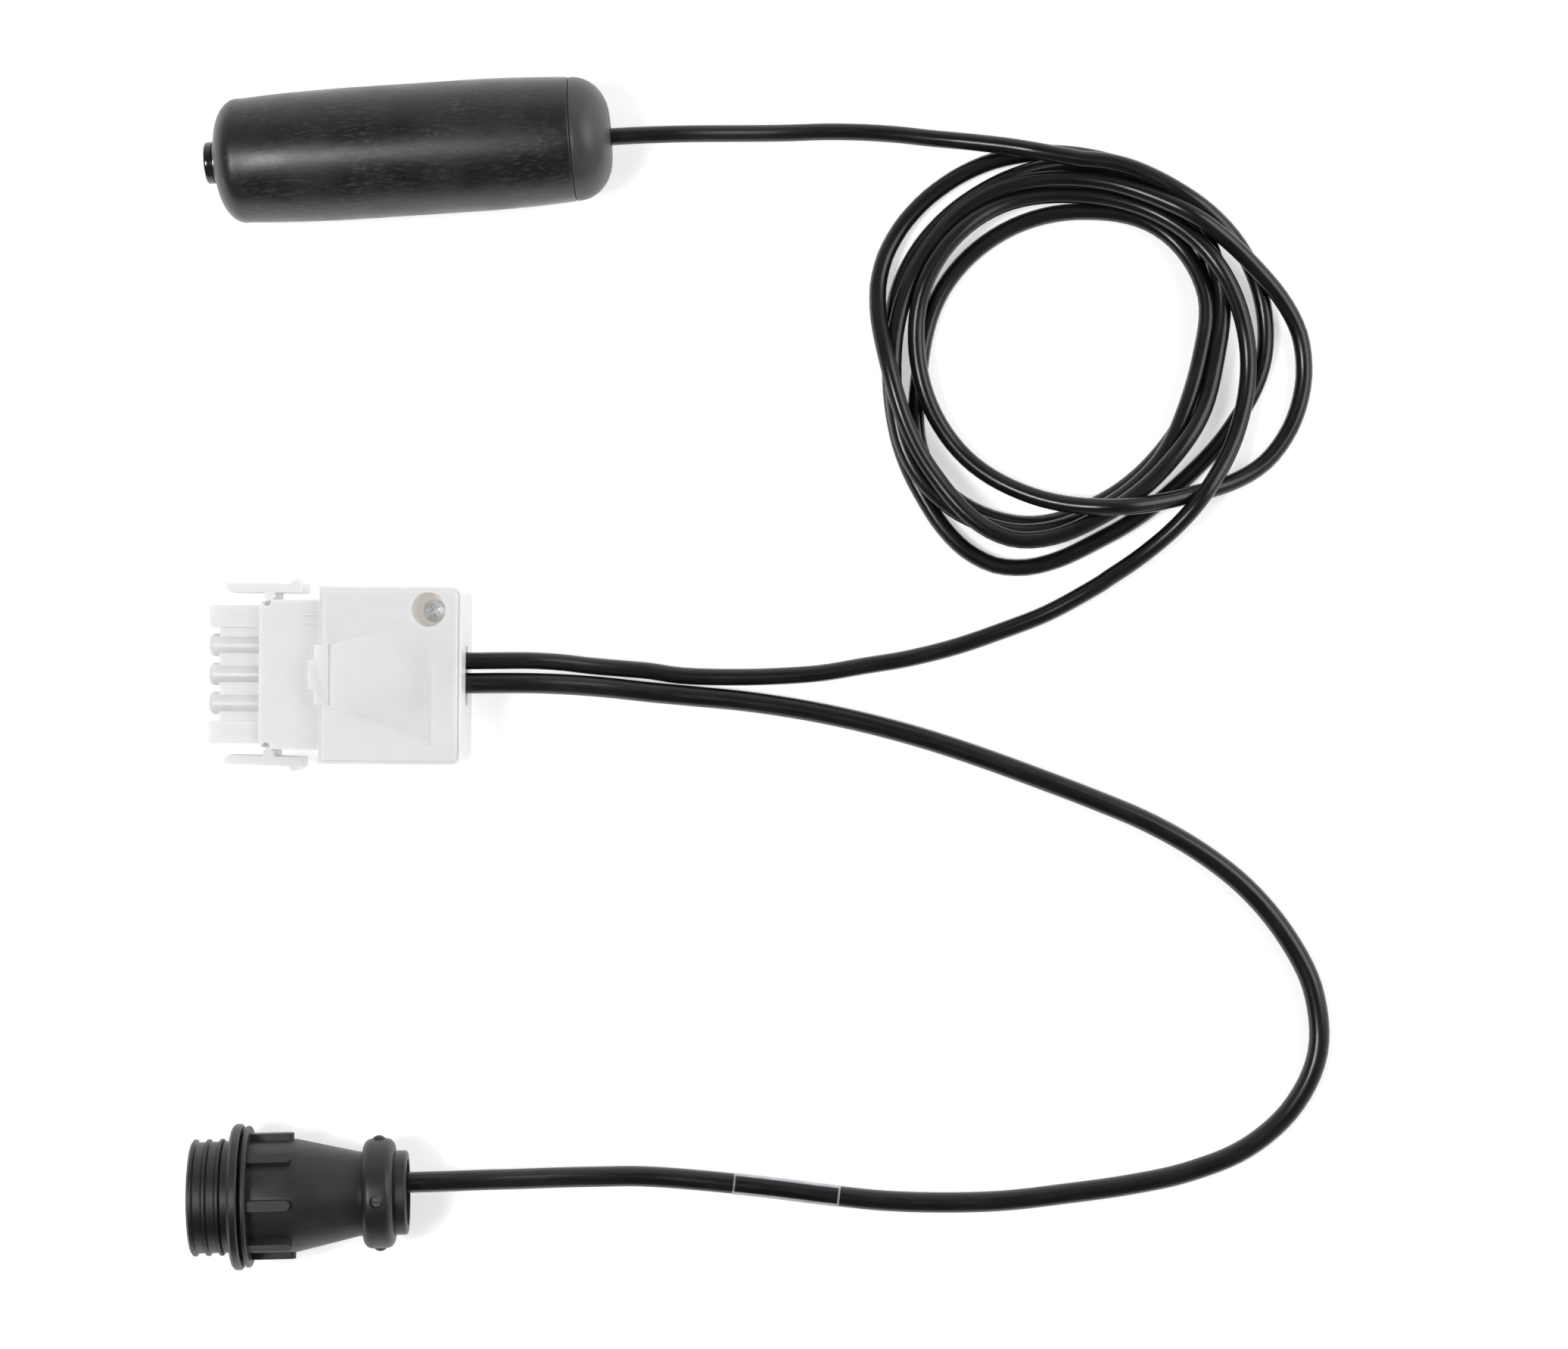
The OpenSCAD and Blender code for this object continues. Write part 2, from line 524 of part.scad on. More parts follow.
module funnel_backshell() color(black_plastic) at_connector() difference() {
    union() {
        lathe([[0, funnel_x], [flange_r - 0.5, funnel_x], [flange_r - 0.5, collar_x - 0.3],
            [flange_r - 0.8, collar_x], [funnel_r, collar_x], [funnel_r, cone_x], [neck_r, clamp_x - 0.8],
            [neck_r, clamp_x], [seat_r, clamp_x], [seat_r, clamp_x + clamp_len], [neck_r, clamp_x + clamp_len],
            [neck_r, end_x - 0.4], [neck_r - 0.4, end_x], [0, end_x]]);
        for (k = [0 : rib_count - 1]) rotate([360 * k / rib_count, 0, 0]) {
            translate([collar_x - 0.4, -rib_w / 2, funnel_r - 1.5]) cube([rib_len - rib_w / 2, rib_w, 1.5 + rib_h]);
            translate([cone_x - 0.4 - rib_w / 2, 0, funnel_r - 1.5]) cylinder(h = 1.5 + rib_h, d = rib_w);
        }
    }
    lathe([[0, funnel_x - 1], [spigot_r + slip, funnel_x - 1], [spigot_r + slip, collar_x + 8.5],
        [tail_bore_r, clamp_x - 4], [tail_bore_r, end_x + 1], [0, end_x + 1]]);
    for (s = [0, 180]) rotate([s, 0, 0]) translate([jaw_x + jaw_len / 2, 0, 0]) cylinder(h = 40, r = 1.25);
}

module clamp_ring() color(black_plastic) at_connector() difference() {
    union() {
        lathe(concat([[seat_r + slip, clamp_x + slip]],
            reversed(quarter(clamp_x + edge_r, clamp_r - edge_r, slip - edge_r, edge_r, 0, 90)),
            quarter(clamp_x + clamp_len - edge_r, clamp_r - edge_r, edge_r - slip, edge_r, 0, 90),
            [[seat_r + slip, clamp_x + clamp_len - slip]]));
        for (s = [-1, 1]) translate([clamp_x + clamp_len / 2, s * (clamp_r - 1), 0]) sphere(r = 1.8, $fn = 24);
    }
    for (s = [0, 180]) rotate([s, 0, 0]) translate([jaw_x + jaw_len / 2, 0, 0]) cylinder(h = 40, r = 1.35);
    rod(0, 60, seat_r + slip);
}

module clamp_jaws() color("#242527") at_connector() difference() {
    for (s = [0, 180]) rotate([s, 0, 0]) intersection() {
        rod(jaw_x, jaw_x + jaw_len, tail_bore_r - slip);
        translate([jaw_x - 1, -20, 0.5]) cube([jaw_len + 2, 40, 20]);
    }
    translate([0, cable_offset, 0]) rod(0, 60, thick_r + slip);
}

module clamp_screws() color("#8f9296") at_connector() for (s = [0, 180]) rotate([s, 0, 0])
    translate([jaw_x + jaw_len / 2, 0, tail_bore_r]) difference() {
        cylinder(h = clamp_r - tail_bore_r - 0.8, r = 1.2);
        translate([-0.8, -0.2, clamp_r - tail_bore_r - 1.4]) cube([1.6, 0.4, 1]);
    }

module connector_wires() color("#8d3b35") at_connector() for (k = [0 : 4])
    wire([insert_x + insert_len + 3.3, 3.4 * cos(72 * k), 3.4 * sin(72 * k)],
        [clamp_x - 2, cable_offset + 1.3 * cos(72 * k), 1.3 * sin(72 * k)], wire_r);

sensor_sleeve();
sensor_rear_cap();
transducer_nose();
nose_ring();
transducer_can();
piezo_disc();
backing_foam();
isolation_ring();
carrier_liner();
circuit_board();
board_components();
transducer_wires();
cable_wires();
cable_grip_ring();
sensor_cable_lead();
sensor_cable_coil();
sensor_cable_run();
plug_housing();
latch_upper();
latch_lower();
cover_top();
cover_bottom();
cover_screws();
crimp_contacts();
plug_wires();
cable_pads();
plug_cable();
marker_sleeve();
receptacle_shell();
contact_insert();
pin_contacts();
flange_gasket();
funnel_backshell();
clamp_ring();
clamp_jaws();
clamp_screws();
connector_wires();
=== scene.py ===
"""Round ultrasonic distance probe on a coiled cable, with a white rectangular plug and a black
circular connector. Metres, +X along the probe towards its cable, +Z up from the table."""
import math

import bmesh
import bpy
import numpy as np
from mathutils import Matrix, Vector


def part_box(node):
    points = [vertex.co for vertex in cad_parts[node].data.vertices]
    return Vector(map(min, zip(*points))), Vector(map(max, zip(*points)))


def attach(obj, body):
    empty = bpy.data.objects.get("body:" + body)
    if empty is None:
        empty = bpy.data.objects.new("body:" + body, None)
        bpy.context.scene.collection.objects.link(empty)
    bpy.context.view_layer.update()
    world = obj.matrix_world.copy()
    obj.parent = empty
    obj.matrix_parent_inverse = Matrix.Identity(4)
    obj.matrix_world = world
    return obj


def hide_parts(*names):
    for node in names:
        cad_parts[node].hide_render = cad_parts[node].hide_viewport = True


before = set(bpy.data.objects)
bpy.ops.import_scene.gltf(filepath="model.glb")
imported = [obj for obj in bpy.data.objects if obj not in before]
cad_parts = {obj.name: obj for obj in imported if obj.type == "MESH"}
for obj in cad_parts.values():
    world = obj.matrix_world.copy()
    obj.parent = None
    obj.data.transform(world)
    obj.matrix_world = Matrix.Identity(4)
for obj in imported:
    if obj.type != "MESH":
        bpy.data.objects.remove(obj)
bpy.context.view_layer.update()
MM = 0.001

# ---------------------------------------------------------------------------------------------
# Table, lamps and camera.
# A white table top that glows, in a light tent that is bright low down and on the far right, dark
# overhead and on the near left. One soft box hangs on the left, one low on the right, and a strip
# over the probe. The camera looks straight down from 0.7 m.


def fill(node, inputs):
    """Gives each named input of a node a value, or a link when the value is a socket."""
    for key, value in inputs.items():
        if isinstance(value, bpy.types.NodeSocket):
            node.id_data.links.new(value, node.inputs[key])
        else:
            node.inputs[key].default_value = value
    return node


def add(tree, kind, inputs, **settings):
    """Adds a shader node, sets its options and fills its inputs."""
    node = tree.nodes.new("ShaderNode" + kind)
    for key, value in settings.items():
        setattr(node, key, value)
    return fill(node, inputs)


table_material = bpy.data.materials.new("white table top")
table_material.use_nodes = True
tree = table_material.node_tree
paper = add(tree, "TexNoise", {"Vector": add(tree, "TexCoord", {}).outputs["Object"], "Scale": 40.0})
tone = add(tree, "MapRange", {"Value": paper.outputs["Fac"], "To Min": 0.90, "To Max": 0.92})
fill(tree.nodes["Principled BSDF"], {
    "Base Color": tone.outputs["Result"], "Roughness": 0.9, "Specular IOR Level": 0.2,
    "Emission Strength": 1.0})

bpy.ops.mesh.primitive_plane_add(size=6, location=(0, 0, -0.0001))
table = bpy.context.object
table.name = "table_top"
table.data.materials.append(table_material)

world = bpy.data.worlds.new("light tent")
bpy.context.scene.world = world
world.use_nodes = True
tree = world.node_tree
direction = add(tree, "SeparateXYZ", {"Vector": add(tree, "TexCoord", {}).outputs["Generated"]})
tent = add(tree, "MapRange", {"Value": direction.outputs["Z"], "From Min": 0.2, "From Max": 0.9,
                              "To Min": 1.7, "To Max": 0.42}, interpolation_type="SMOOTHSTEP")
sideways = add(tree, "Math", {0: direction.outputs["X"], 1: direction.outputs["Y"]}, operation="ADD")
bright_side = add(tree, "MapRange", {"Value": sideways.outputs["Value"], "From Min": -0.9,
                                     "From Max": 0.9, "To Min": 0.18, "To Max": 1.15})
both = add(tree, "Math", {0: tent.outputs["Result"], 1: bright_side.outputs["Result"]},
           operation="MULTIPLY")
fill(tree.nodes["Background"], {"Strength": both.outputs["Value"], "Color": (0.98, 0.99, 1.0, 1)})


def soft_box(name, place, target, size, power, color):
    """A rectangular area lamp at place, turned so that its face looks at target: tilted by
    atan(flat / drop) about its own X, then turned about Z."""
    lamp = bpy.data.lights.new(name, "AREA")
    lamp.shape = "RECTANGLE"
    lamp.size, lamp.size_y = size
    lamp.energy = power
    lamp.color = color
    holder = bpy.data.objects.new(name, lamp)
    bpy.context.collection.objects.link(holder)
    way = np.subtract(target, place)
    flat = math.hypot(way[0], way[1])
    holder.location = place
    holder.rotation_euler = (math.atan2(flat, -way[2]), 0, math.atan2(way[1], way[0]) - math.pi / 2)


middle = (0.07, -0.12, 0.0)
soft_box("left soft box", (-0.34, -0.16, 0.84), middle, (0.24, 0.24), 8.5, (1.0, 0.98, 1.0))
soft_box("overhead strip", (-0.14, -0.10, 0.92), (-0.03, 0.0, 0.02), (0.42, 0.05), 0.6,
         (0.97, 0.96, 1.0))
soft_box("right soft box", (0.62, 0.02, 0.46), middle, (0.5, 0.4), 4.0, (0.96, 0.99, 1.0))
bpy.context.scene.view_settings.view_transform = "Standard"
bpy.context.scene.view_settings.exposure = -1.0

camera = bpy.data.objects.new("camera", bpy.data.cameras.new("camera"))
bpy.context.collection.objects.link(camera)
camera.location = (0.07501, -0.12076, 0.7)
camera.rotation_euler = (0, 0, math.radians(-3.75))
camera.data.lens = 71.4
camera.data.sensor_width = 36
camera.data.clip_start = 0.01
bpy.context.scene.camera = camera

# ---------------------------------------------------------------------------------------------
# Thin cable from the probe to the plug.
# A round black PVC jacket of 3.8 mm, extruded and slightly glossy, in one piece from end to end.
# It leaves the rear cap, lies in a pile of five loose turns, and runs into the plug's cover.
thin_radius = 1.9 * MM
lead_route = np.array([
    (34, 0, 14.4), (45, 0, 14.4), (52, 0, 13.8), (60, 0, 12.2), (68, 0, 9.6), (76, 0, 6.7), (84, 0, 4.2),
    (92, 0, 2.7), (100, -0.5, 2.1), (108, -1.5, 2), (116, -3, 2.4), (124, -4.5, 3.8), (132, -6.3, 5.8),
    (140, -8.5, 7.9)]) * MM
run_route = np.array([
    (145.5, -105.9, 5), (135, -110.8, 3.2), (125, -114, 2.1), (114, -117, 2),
    (103, -119, 2), (93, -120, 2), (83, -121, 2), (72, -121, 2), (62, -120.5, 2), (52, -119.5, 2),
    (45, -118, 2.3), (38.5, -117, 3.5), (32, -116, 5.5), (25.5, -114.8, 8), (19, -114, 10.2),
    (12.5, -113.6, 11.8), (5.5, -113.2, 12.5), (-6, -112.4, 12.5)]) * MM
coil_centre = np.array((149, -55.5)) * MM
# Radius of the cable's middle line at the twelve hours of a clock, one row to a turn, clockwise.
# A separate program fitted these values to points read by hand, and a few were then changed.
coil_radii = np.array([
    44.6, 41.6, 41.1, 38.5, 34.0, 33.4, 39.1, 50.6, 48.2, 45.8, 46.9, 45.9,
    44.3, 40.7, 33.4, 27.3, 26.4, 28.1, 34.2, 44.2, 44.3, 46.0, 52.5, 51.5,
    46.6, 41.2, 31.9, 26.0, 23.9, 25.5, 31.1, 40.2, 44.3, 39.3, 37.7, 35.7,
    34.0, 33.4, 29.3, 23.7, 22.7, 26.3, 32.6, 42.3, 47.0, 45.3, 45.0, 44.4,
    40.6, 38.2, 40.4, 46.9, 45.3, 36.3, 33.0, 33.4, 36.3, 39.3, 41.9, 41.0,
    37.3, 35.5, 34.0, 34.0, 35.2, 39.2, 48.4, 66.0]) * MM
# Where the cable's order in the pile changes, in hours along it, and its rank in each stretch
order_changes = (3, 10.7, 18, 22.7, 36, 46, 59.5, 62.6)
pile_ranks = np.array((3, 0, 2.5, 2.2, 0.1, 1, 4, 3.5, 6))


def curve_at(values, t):
    """A cubic that passes through values at 0, 1, 2, ..., read at the places t."""
    i = np.clip(np.floor(t).astype(int), 0, len(values) - 2)
    f = (t - i).reshape((-1,) + (1,) * (values.ndim - 1))
    a, b = values[np.maximum(i - 1, 0)], values[i]
    c, d = values[i + 1], values[np.minimum(i + 2, len(values) - 1)]
    return b + 0.5 * f * ((c - a) + f * ((2 * a - 5 * b + 4 * c - d) + f * (3 * (b - c) + d - a)))


def evenly(points, step):
    """The same line with its points one step apart, measured along its first three columns."""
    gaps = np.linalg.norm(np.diff(points[:, :3], axis=0), axis=1)
    along = np.concatenate(([0], np.cumsum(gaps)))
    places = np.linspace(0, along[-1], int(round(along[-1] / step)) + 1)
    return np.stack([np.interp(places, along, column) for column in points.T], axis=1)


def laid_height(line, rank, radius):
    """Heights of a cable that rests on itself. Each point stays at or above its own route, and
    clears every lower-ranked stretch under it by √((2r)² − d²), which two touching round cables
    need whose middle lines are d apart in plan. Between its supports it hangs as an arc."""
    droop, rounds = 12.0, 1500  # curvature of the arc per metre, and passes until all is settled
    i = np.arange(len(line))
    apart = np.linalg.norm(line[:, None, :2] - line[None, :, :2], axis=2)
    near = (apart < 1.76 * radius) & (abs(i[:, None] - i[None]) > 20)
    above = (rank[:, None] > rank[None]) | ((rank[:, None] == rank[None]) & (i[:, None] > i[None]))
    step = np.sqrt(np.maximum((2 * radius) ** 2 - apart ** 2, 0))
    upper, lower = np.nonzero(near & above)
    lift = step[upper, lower]
    gap = np.linalg.norm(line[1, :2] - line[0, :2])
    height = line[:, 2].copy()
    for _ in range(rounds):
        floor = line[:, 2].copy()
        np.maximum.at(floor, upper, height[lower] + lift)
        hung = height.copy()
        hung[1:-1] = (height[:-2] + height[2:]) / 2 - droop * gap * gap / 2
        height = np.maximum(floor, hung)
    for _ in range(4):
        height[1:-1] = (height[:-2] + 2 * height[1:-1] + height[2:]) / 4
    return height


hours = np.arange(0, 66.01, 1 / 8)
radii = curve_at(coil_radii, hours)
coil_line = np.stack([coil_centre[0] + radii * np.sin(np.radians(30 * hours)),
                      coil_centre[1] + radii * np.cos(np.radians(30 * hours)),
                      np.full(len(hours), thin_radius), hours], axis=1)


def straight_part(points, mark):
    """A hand-set route as a smooth line, with mark in its fourth column."""
    dense = curve_at(points, np.linspace(0, len(points) - 1, 8 * len(points)))
    return np.column_stack([dense, np.full(len(dense), mark)])


lead_line = straight_part(np.vstack([lead_route, coil_line[0, :3]]), -1)
run_line = straight_part(np.vstack([coil_line[-1, :3], run_route]), 70)
thin_line = evenly(np.vstack([lead_line[:-1], coil_line, run_line[1:]]), 2.4 * MM)
ranks = pile_ranks[np.searchsorted(order_changes, thin_line[:, 3], side="right")]
thin_path = thin_line[:, :3].copy()
thin_path[:, 2] = laid_height(thin_line, ranks, thin_radius)


def grid_piece(name, points, uv, material):
    """A closed skin from a grid of points (rows, columns, 3), with a UV map from uv (rows,
    columns, 2) and smooth shading. Each row is a closed ring; a cap closes either end."""
    rows, columns = points.shape[:2]
    r, c = np.meshgrid(np.arange(rows - 1), np.arange(columns), indexing="ij")
    across = (c + 1) % columns
    quads = np.stack([r * columns + c, r * columns + across,
                      (r + 1) * columns + across, (r + 1) * columns + c], axis=-1).reshape(-1, 4)
    first, last = list(range(columns)), [(rows - 1) * columns + k for k in range(columns)]
    mesh = bpy.data.meshes.new(name)
    mesh.from_pydata(points.reshape(-1, 3).tolist(), [], quads.tolist() + [first[::-1], last])
    corners = np.zeros((len(mesh.loops), 2))
    wide = np.concatenate([uv, uv[:, :1] + np.array([0, 1])], axis=1)
    quad_uv = np.stack([wide[r, c], wide[r, c + 1], wide[r + 1, c + 1], wide[r + 1, c]], axis=-2)
    corners[:quads.size] = quad_uv.reshape(-1, 2)
    mesh.uv_layers.new(name="surface").data.foreach_set("uv", corners.ravel())
    mesh.polygons.foreach_set("use_smooth", np.ones(len(mesh.polygons), bool))
    mesh.materials.append(material)
    mesh.update()
    piece = bpy.data.objects.new(name, mesh)
    bpy.context.collection.objects.link(piece)
    return piece


def cable_piece(name, path, radius, sides, material):
    """A round tube along path: rings in the plane across the path's direction t, spanned by
    u = z × t and w = t × u. The UV map runs along the cable in metres, and once around it."""
    t = np.gradient(path, axis=0)
    t /= np.linalg.norm(t, axis=1)[:, None]
    u = np.cross((0, 0, 1), t)
    u /= np.linalg.norm(u, axis=1)[:, None]
    w = np.cross(t, u)
    turn = np.arange(sides) * 2 * np.pi / sides
    ring = u[:, None] * np.cos(turn)[:, None] + w[:, None] * np.sin(turn)[:, None]
    along = np.concatenate(([0], np.cumsum(np.linalg.norm(np.diff(path, axis=0), axis=1))))
    uv = np.stack(np.broadcast_arrays(along[:, None], (np.arange(sides) / sides)[None]), axis=-1)
    return grid_piece(name, path[:, None] + radius * ring, uv, material)


def effect(name, numbers, outputs):
    """Starts a shader node group that takes a Vector and named numbers and gives named numbers.
    Returns its tree, its input node's outputs and a function that links a socket to an output."""
    group = bpy.data.node_groups.new(name, "ShaderNodeTree")
    group.interface.new_socket("Vector", in_out="INPUT", socket_type="NodeSocketVector")
    for label in numbers:
        group.interface.new_socket(label, in_out="INPUT", socket_type="NodeSocketFloat")
    for label in outputs:
        group.interface.new_socket(label, in_out="OUTPUT", socket_type="NodeSocketFloat")
    entry = group.nodes.new("NodeGroupInput")
    leave = group.nodes.new("NodeGroupOutput")
    return group, entry.outputs, lambda label, socket: group.links.new(socket, leave.inputs[label])


# Handling marks: blotches of one size with fine grain on top, from 0 to 1
blotches, given, put = effect("blotches and grain", ("Size", "Grain", "Sharpness"), ("Mask", "Grain"))
big = add(blotches, "TexNoise", {"Vector": given["Vector"], "Scale": given["Size"], "Detail": 4.0})
low = add(blotches, "MapRange", {"Value": given["Sharpness"], "To Min": 0.2, "To Max": 0.5})
high = add(blotches, "MapRange", {"Value": given["Sharpness"], "To Min": 0.8, "To Max": 0.55})
mask = add(blotches, "MapRange", {"Value": big.outputs["Fac"], "From Min": low.outputs["Result"],
                                  "From Max": high.outputs["Result"]}, interpolation_type="SMOOTHSTEP")
put("Mask", mask.outputs["Result"])
fine = add(blotches, "TexNoise", {"Vector": given["Vector"], "Scale": given["Grain"], "Detail": 2.0})
put("Grain", fine.outputs["Fac"])


def blend(tree, factor, first, second):
    """A colour that goes from first to second while factor goes from 0 to 1."""
    inputs = {"Factor": factor, "A": first, "B": second}
    return add(tree, "Mix", inputs, data_type="RGBA").outputs["Result"]


def finish(name, dark, light, rough, size, grain, bump, sharpness=0.5, uv=False, stretch=(1, 1, 1),
           **more):
    """A surface whose colour goes from dark to light and whose roughness goes over the range
    rough, both by the blotches effect, with a fine bump of the given strength. Patterns follow
    the UV map or Object coordinates, stretched by three factors. More holds plain shader values,
    with _ for a space."""
    material = bpy.data.materials.new(name)
    material.use_nodes = True
    tree = material.node_tree
    place = add(tree, "TexCoord", {}).outputs["UV" if uv else "Object"]
    spot = add(tree, "Mapping", {"Vector": place, "Scale": stretch}).outputs["Vector"]
    marks = add(tree, "Group", {"Vector": spot, "Size": size, "Grain": grain, "Sharpness": sharpness},
                node_tree=blotches).outputs
    roughness = add(tree, "MapRange", {"Value": marks["Mask"], "To Min": rough[0], "To Max": rough[1]})
    relief = add(tree, "Bump", {"Height": marks["Grain"], "Strength": bump, "Distance": 0.02 * MM})
    fill(tree.nodes["Principled BSDF"], {
        "Base Color": blend(tree, marks["Mask"], (*dark, 1), (*light, 1)),
        "Roughness": roughness.outputs["Result"], "Normal": relief.outputs["Normal"],
        **{key.replace("_", " "): value for key, value in more.items()}})
    return material


jacket = finish("black cable jacket", (0.006, 0.0063, 0.0067), (0.010, 0.0103, 0.0107), (0.20, 0.27),
                size=18, grain=2500, bump=0.15, uv=True, stretch=(6, 0.6, 1), Specular_IOR_Level=0.45)
thin_cable = cable_piece("thin_cable", thin_path, thin_radius, 20, jacket)
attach(thin_cable, "root")
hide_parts("sensor_cable_lead", "sensor_cable_coil", "sensor_cable_run")

# ---------------------------------------------------------------------------------------------
# Thick cable from the plug to the circular connector.
# A round black PVC jacket of 4.6 mm, gripped in the plug's cover and between the connector's
# jaws. It sweeps round in one wide bend on the table.
thick_radius = 2.3 * MM
plug_cable_route = np.array([
    (-6.5, -117.2, 12.5), (5, -118.1, 12.5), (12, -118.5, 12), (20, -119.1, 10.2), (28, -120, 7.6),
    (36, -121.2, 5), (45, -122.8, 3.1), (55, -124.4, 2.4), (66, -126.2, 2.4), (79, -129, 2.4),
    (92, -132.6, 2.4), (105, -137, 2.4), (117.5, -142, 2.4), (130, -147.5, 2.4), (142, -153, 2.4),
    (154, -159, 2.4), (165.5, -166.5, 2.4), (175.5, -175.5, 2.4), (183.5, -186.5, 2.4),
    (188.8, -199, 2.4), (189, -213, 2.4), (182.5, -225, 2.4), (171.5, -233.5, 2.4), (158, -238, 2.4),
    (144.5, -240, 2.4), (131, -241, 2.4), (117, -241.7, 2.4), (104, -241.3, 2.4), (90, -240, 2.4),
    (77, -237.8, 2.4), (63.5, -235.2, 2.4), (50, -232.9, 2.4), (36.5, -231, 2.5), (26, -230.2, 3.6),
    (16.5, -229.4, 6.1), (8, -228.7, 8.9), (1.5, -228.1, 11), (-5, -227.7, 12.4), (-12, -227.3, 13.4),
    (-18, -227, 13.9), (-25, -226.6, 14.3)]) * MM
thick_line = curve_at(plug_cable_route, np.linspace(0, len(plug_cable_route) - 1, 400))
thick_path = evenly(thick_line, 2.5 * MM)
thick_cable = cable_piece("thick_cable", thick_path, thick_radius, 24, jacket)
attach(thick_cable, "root")
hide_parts("plug_cable")

# ---------------------------------------------------------------------------------------------
# Marker film on the thick cable.
# A blank sleeve of clear film, 24 mm long, shrunk onto the jacket a little further along than its
# plain CAD tube. It shows only at its two cut ends and at its rims, where a pale colour that fades in at
# grazing angles is a painted reflection of the table.
film_low, film_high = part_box("marker_sleeve")
film_middle = (np.array(film_low) + np.array(film_high)) / 2 + np.array((3.8, -0.4, 0)) * MM
film_half, film_gap = 12 * MM, 0.11 * MM
nearest = int(np.argmin(np.linalg.norm(thick_path - film_middle, axis=1)))
fine_path = evenly(thick_path[nearest - 6:nearest + 7], 0.5 * MM)
film_path = fine_path[np.linalg.norm(fine_path - thick_path[nearest], axis=1) < film_half]
# The film's pale colour is a painted reflection of the white table, shown only where the alpha below
# lets it through.
film = finish("clear marker film", (0.55, 0.58, 0.62), (0.72, 0.75, 0.78), (0.08, 0.16), size=8,
              grain=900, bump=0.05, uv=True, stretch=(30, 1, 1))
tree = film.node_tree
# Opaque only at grazing angles: the painted rim reflection.
rim = add(tree, "LayerWeight", {"Blend": 0.5})
painted_rim_reflection = add(tree, "MapRange", {"Value": rim.outputs["Facing"], "From Min": 0.26, "From Max": 0.42,
                                 "To Min": 0.0, "To Max": 0.72})
lengthwise = add(tree, "SeparateXYZ", {"Vector": add(tree, "TexCoord", {}).outputs["UV"]})
from_middle = add(tree, "Math", {0: lengthwise.outputs["X"], 1: film_half}, operation="SUBTRACT")
far_out = add(tree, "Math", {0: from_middle.outputs["Value"]}, operation="ABSOLUTE")
cut_edge = add(tree, "MapRange", {
    "Value": far_out.outputs["Value"], "From Min": film_half - 0.5 * MM,
    "From Max": film_half - 0.4 * MM, "To Min": 0.0, "To Max": 0.4})
seen = add(tree, "Math", {0: painted_rim_reflection.outputs["Result"], 1: cut_edge.outputs["Result"]},
           operation="MAXIMUM")
fill(tree.nodes["Principled BSDF"], {"Alpha": seen.outputs["Value"]})
marker_film = cable_piece("marker_film", film_path, thick_radius + film_gap, 32, film)
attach(marker_film, "root")
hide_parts("marker_sleeve")

# ---------------------------------------------------------------------------------------------
# Probe: rubber sleeve, rear cap, sensing nose and bright ring.
# A barrel of 28.8 mm, thickest in the middle, moulded in matt black rubber over the works, with
# a smoother cap bonded in at the rear. The glossy black nose looks out of the front.
axis_z = 14.4 * MM
front_x, joint_x, rear_x, nose_x = -42.15 * MM, 36.25 * MM, 44.65 * MM, -44.65 * MM
barrel_r, end_r, nose_r = 14.4 * MM, 13.6 * MM, 4.6 * MM


def arc(cx, cr, lx, lr, start, stop, count):
    """Points (x, r) on a quarter ellipse, a in degrees: x = cx + lx sin a, r = cr + lr cos a."""
    a = np.radians(np.linspace(start, stop, count))
    return np.stack([cx + lx * np.sin(a), cr + lr * np.cos(a)], axis=1)


def lathe_piece(name, profile, material, sides=160, wobble=0.0, seed=0):
    """A solid of revolution about the probe's axis: y = r cos v, z = axis_z + r sin v. Profile is
    (x, r) along the outside from front to rear. Slow waves shrink r by up to wobble."""
    v = np.arange(sides) * 2 * np.pi / sides
    x, r = profile[:, 0][:, None], profile[:, 1][:, None]
    waves = np.random.default_rng(seed).uniform(0, 2 * np.pi, (9, 2))
    dent = sum(np.sin((k // 3 + 1) * v[None] + waves[k, 0])
               * np.sin((k % 3 + 1) * x / 0.011 + waves[k, 1]) for k in range(9)) / 9
    r = r - wobble * (0.5 + 0.5 * dent) * (r > 0.008)
    points = np.stack(np.broadcast_arrays(x, r * np.cos(v), axis_z + r * np.sin(v)), axis=-1)
    along = np.concatenate(([0], np.cumsum(np.linalg.norm(np.diff(profile, axis=0), axis=1))))
    uv = np.stack(np.broadcast_arrays(along[:, None], v[None] / (2 * np.pi)), axis=-1)
    return grid_piece(name, points[:, ::-1], uv, material)


# Scuffs: long rubbed streaks along X, gathered in patches, with small round nicks
scuffs, given, put = effect("scuffs", ("Length", "Width"), ("Streaks", "Nicks"))
long_way = add(scuffs, "CombineXYZ", {"X": given["Length"], "Y": given["Width"], "Z": given["Width"]})
streak_at = add(scuffs, "VectorMath", {0: given["Vector"], 1: long_way.outputs["Vector"]},
                operation="MULTIPLY")
streak = add(scuffs, "TexNoise", {"Vector": streak_at.outputs["Vector"], "Scale": 1.0, "Detail": 3.0})
sharp_streak = add(scuffs, "MapRange", {"Value": streak.outputs["Fac"], "From Min": 0.5,
                                        "From Max": 0.72})
patch = add(scuffs, "TexNoise", {"Vector": given["Vector"], "Scale": 70.0, "Detail": 2.0})
in_patch = add(scuffs, "MapRange", {"Value": patch.outputs["Fac"], "From Min": 0.30, "From Max": 0.62})
gathered = add(scuffs, "Math", {0: sharp_streak.outputs["Result"], 1: in_patch.outputs["Result"]},
               operation="MULTIPLY")
put("Streaks", gathered.outputs["Value"])
nick = add(scuffs, "TexVoronoi", {"Vector": given["Vector"], "Scale": 260.0})
